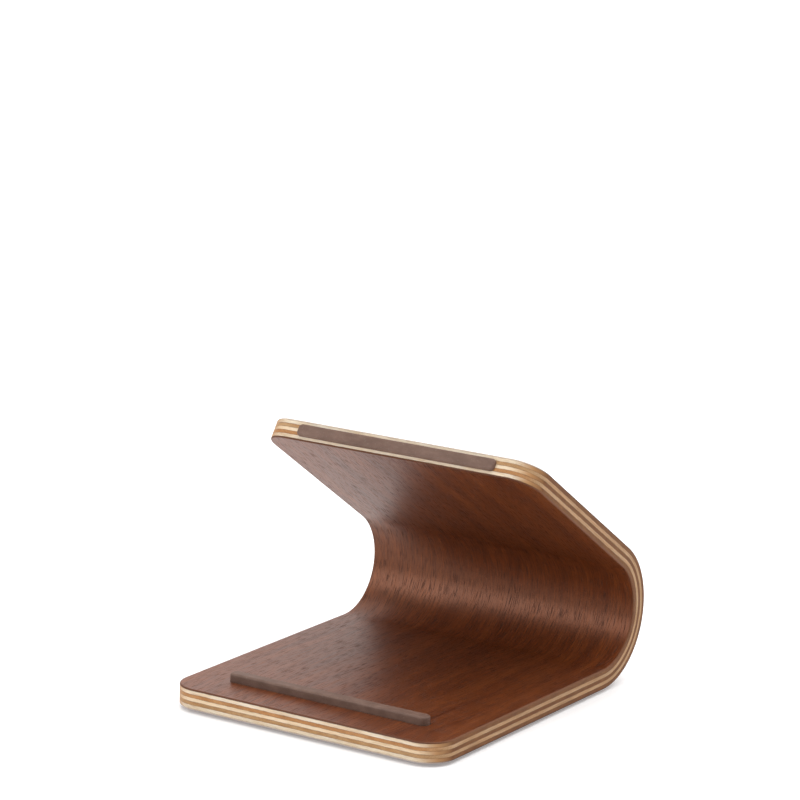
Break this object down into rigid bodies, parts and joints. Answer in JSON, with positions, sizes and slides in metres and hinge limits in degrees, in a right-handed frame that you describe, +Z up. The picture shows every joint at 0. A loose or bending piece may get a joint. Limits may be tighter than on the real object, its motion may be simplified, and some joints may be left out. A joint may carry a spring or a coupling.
{
  "type": "tablet stand",
  "caption": "Tablet stand bent from one strip of moulded plywood: flat base, round bend, sloping roof, soft stop bar in front.",
  "frame": {"origin": "on the surface the stand rests on, under the centre of its bounding box", "axes": "+X to the stand's right seen from the front, +Y to the rear, where the strip bends, +Z up"},
  "size_m": [0.12, 0.142, 0.1003],
  "materials": {
    "walnut": "oiled walnut veneer, satin",
    "cream_birch": "pale core ply, lacquered edge",
    "tan_birch": "core ply laid crosswise, lacquered edge",
    "brown_silicone": "matte grey-brown silicone",
    "dark_rubber": "matte dark rubber"
  },
  "bodies": {
    "root": {"inner_face_veneer": "walnut", "core_ply_1": "cream_birch", "core_ply_2": "tan_birch", "core_ply_3": "cream_birch", "core_ply_4": "tan_birch", "core_ply_5": "cream_birch", "outer_face_veneer": "walnut", "stop_bar": "brown_silicone", "rest_strip": "brown_silicone", "foot_front_left": "dark_rubber", "foot_front_right": "dark_rubber", "foot_rear_left": "dark_rubber", "foot_rear_right": "dark_rubber"}
  },
  "joints": []
}
